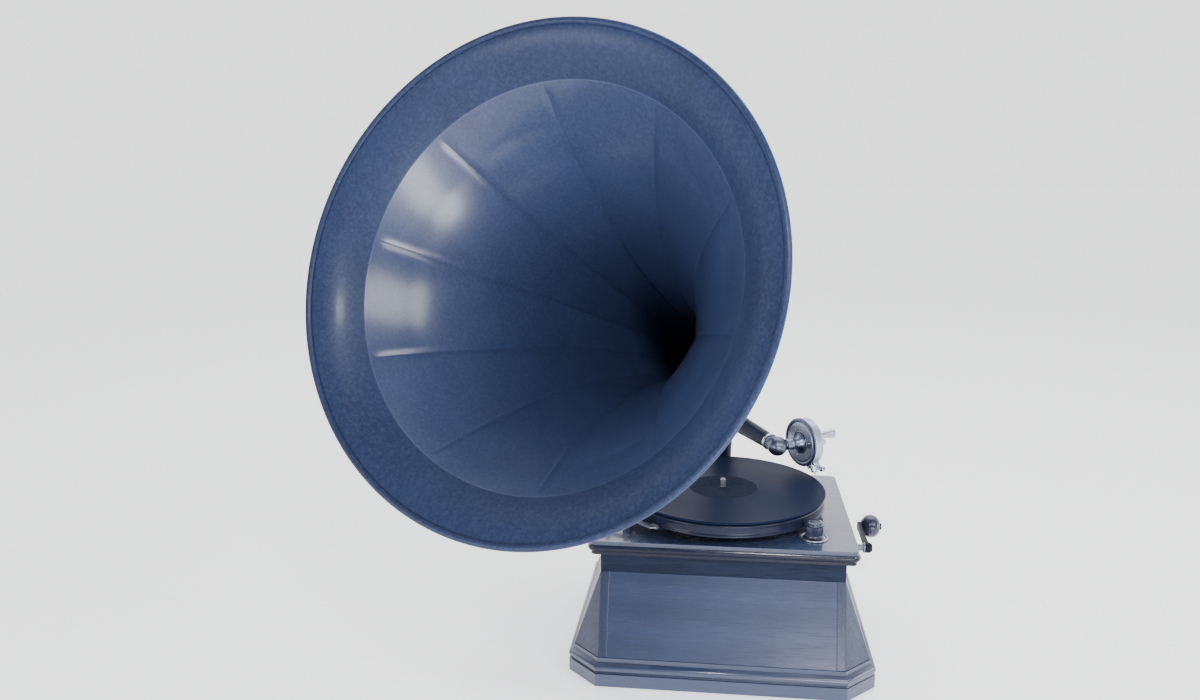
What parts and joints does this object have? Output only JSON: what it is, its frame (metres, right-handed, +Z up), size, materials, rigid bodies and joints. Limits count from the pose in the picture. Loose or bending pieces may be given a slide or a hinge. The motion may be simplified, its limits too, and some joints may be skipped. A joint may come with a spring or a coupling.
{
  "type": "horn gramophone",
  "caption": "Table gramophone with a sloping wooden case, spring motor, platter and record, swinging tone arm with sound box, and a large gored horn on a rear bracket.",
  "frame": {"origin": "centre of the case's underside", "axes": "+X to the right, +Y to the back, +Z up; the front of the case faces -Y"},
  "size_m": [0.6058, 0.6808, 0.7177],
  "materials": {
    "case_wood": "dark stained oak, satin varnish",
    "lid_wood": "dark stained oak, polished",
    "inner_wood": "plain board, unfinished",
    "nickel": "nickel plate, lightly worn",
    "box_nickel": "nickel plate, polished",
    "platter_nickel": "nickel plated rim",
    "screw_steel": "turned screw head",
    "arbor_steel": "ground steel",
    "crank_steel": "plated forging, dulled",
    "plate_steel": "plated sheet",
    "gear_steel": "oiled steel",
    "gear_brass": "cut brass, oiled",
    "barrel_brass": "spun brass, dull",
    "governor_brass": "turned brass",
    "spring_steel": "blued spring steel",
    "washer_rubber": "soft washer",
    "japan_black": "dark japanned enamel, glossy",
    "horn_paint": "dark blue enamel, glossy",
    "brim_paint": "dark blue enamel, glossy",
    "ferrule_nickel": "dark enamel",
    "record_shellac": "pressed shellac with fine grooves",
    "mat_felt": "pressed felt",
    "mica": "clear mica sheet",
    "knob_wood": "turned, ebonised and polished",
    "needle_steel": "polished steel"
  },
  "bodies": {
    "case": {"bottom_board": "inner_wood", "plinth": "case_wood", "front_board": "case_wood", "rear_board": "case_wood", "left_board": "case_wood", "right_board": "case_wood", "corner_posts": "case_wood", "neck_frame": "case_wood", "lid_board": "lid_wood", "crank_bush": "nickel", "motor_top_plate": "plate_steel", "motor_bottom_plate": "plate_steel", "motor_pillars": "gear_brass", "motor_screws": "screw_steel", "motor_washers": "washer_rubber", "winding_bracket": "plate_steel", "horn_bracket": "japan_black", "bracket_screws": "screw_steel", "arm_pivot": "nickel", "regulator_plate": "nickel", "brake_post": "nickel"},
    "turntable": {"platter": "platter_nickel", "felt_mat": "mat_felt", "record": "record_shellac", "spindle": "arbor_steel", "worm_wheel": "gear_brass"},
    "train": {"train_arbor": "arbor_steel", "train_wheel": "gear_brass"},
    "barrel": {"spring_barrel": "barrel_brass", "barrel_cap": "barrel_brass", "mainspring": "spring_steel"},
    "winding_arbor": {"barrel_arbor": "arbor_steel", "crown_wheel": "gear_brass"},
    "winder": {"winding_shaft": "arbor_steel", "winding_pinion": "gear_steel", "ratchet_wheel": "gear_steel", "crank_arm": "crank_steel"},
    "crank_grip": {"crank_knob": "knob_wood"},
    "click": {"click": "gear_steel"},
    "governor": {"governor_shaft": "arbor_steel", "governor_springs": "spring_steel", "governor_weights": "governor_brass", "governor_disc": "governor_brass"},
    "governor_control": {"governor_lever": "plate_steel"},
    "regulator": {"regulator_knob": "knob_wood"},
    "brake": {"brake_lever": "nickel"},
    "arm": {"tone_arm": "japan_black", "arm_ball": "nickel"},
    "sound_box": {"box_housing": "box_nickel", "box_gaskets": "washer_rubber", "diaphragm": "mica", "box_front": "box_nickel", "stylus_bar": "nickel", "needle": "needle_steel"},
    "needle_clamp": {"needle_screw": "nickel"},
    "horn": {"horn_elbow": "japan_black", "horn_ferrule": "ferrule_nickel", "horn_bell": "horn_paint", "horn_brim": "brim_paint"},
    "horn_clamp": {"horn_clamp_screw": "nickel"}
  },
  "joints": [
    {"name": "platter_turn", "type": "hinge", "parent": "case", "child": "turntable", "pos_m": [0, -0.007, 0.17], "axis": [0, 0, 1], "continuous": true},
    {"name": "train_turn", "type": "hinge", "parent": "case", "child": "train", "pos_m": [0.0159, 0.0226, 0.08], "axis": [0, 0, 1], "continuous": true},
    {"name": "barrel_turn", "type": "hinge", "parent": "case", "child": "barrel", "pos_m": [0.062, 0.006, 0.075], "axis": [0, 0, 1], "continuous": true},
    {"name": "governor_turn", "type": "hinge", "parent": "case", "child": "governor", "pos_m": [-0.02, -0.0345, 0.114], "axis": [1, 0, 0], "continuous": true},
    {"name": "crank_turn", "type": "hinge", "parent": "case", "child": "winder", "pos_m": [0.15, 0.006, 0.114], "axis": [1, 0, 0], "continuous": true},
    {"name": "arbor_turn", "type": "hinge", "parent": "case", "child": "winding_arbor", "pos_m": [0.062, 0.006, 0.098], "axis": [0, 0, 1], "continuous": true},
    {"name": "knob_spin", "type": "hinge", "parent": "winder", "child": "crank_grip", "pos_m": [0.195, 0.08, 0.114], "axis": [1, 0, 0], "continuous": true},
    {"name": "click_lift", "type": "hinge", "parent": "case", "child": "click", "pos_m": [0.0967, 0.023, 0.124], "axis": [1, 0, 0], "range_deg": [0, 25]},
    {"name": "arm_swing", "type": "hinge", "parent": "case", "child": "arm", "pos_m": [0, 0.165, 0.225], "axis": [0, 0, 1], "range_deg": [-27, 20]},
    {"name": "box_turn", "type": "hinge", "parent": "arm", "child": "sound_box", "pos_m": [0.06809, 0.04267, 0.231], "axis": [-0.829, -0.5592, 0], "range_deg": [0, 115]},
    {"name": "needle_screw_turn", "type": "hinge", "parent": "sound_box", "child": "needle_clamp", "pos_m": [0.12432, 0.05498, 0.19829], "axis": [0.829, 0.5592, 0], "range_deg": [-90, 360]},
    {"name": "horn_swivel", "type": "hinge", "parent": "case", "child": "horn", "pos_m": [0, 0.165, 0.27], "axis": [0, 0, 1], "range_deg": [-60, 60]},
    {"name": "horn_clamp_turn", "type": "hinge", "parent": "case", "child": "horn_clamp", "pos_m": [0.02294, 0.18106, 0.2696], "axis": [0.8192, 0.5736, 0], "range_deg": [-90, 360]},
    {"name": "regulator_turn", "type": "hinge", "parent": "case", "child": "regulator", "pos_m": [0.10444, -0.09458, 0.17], "axis": [0, 0, 1], "range_deg": [-30, 30]},
    {"name": "governor_lever_turn", "type": "hinge", "parent": "case", "child": "governor_control", "pos_m": [-0.068, -0.08, 0.135], "axis": [0, 0, 1], "range_deg": [-0.7, 0.7]},
    {"name": "brake_turn", "type": "hinge", "parent": "case", "child": "brake", "pos_m": [-0.112, -0.088, 0.176], "axis": [0, 0, 1], "range_deg": [-12, 1.2]}
  ],
  "couplings": [
    {"joint": "train_turn", "follows": "platter_turn", "ratio": -0.2},
    {"joint": "barrel_turn", "follows": "platter_turn", "ratio": 0.033333},
    {"joint": "governor_turn", "follows": "platter_turn", "ratio": -15},
    {"joint": "arbor_turn", "follows": "crank_turn", "ratio": 0.4},
    {"joint": "governor_lever_turn", "follows": "regulator_turn", "ratio": 0.022671}
  ]
}
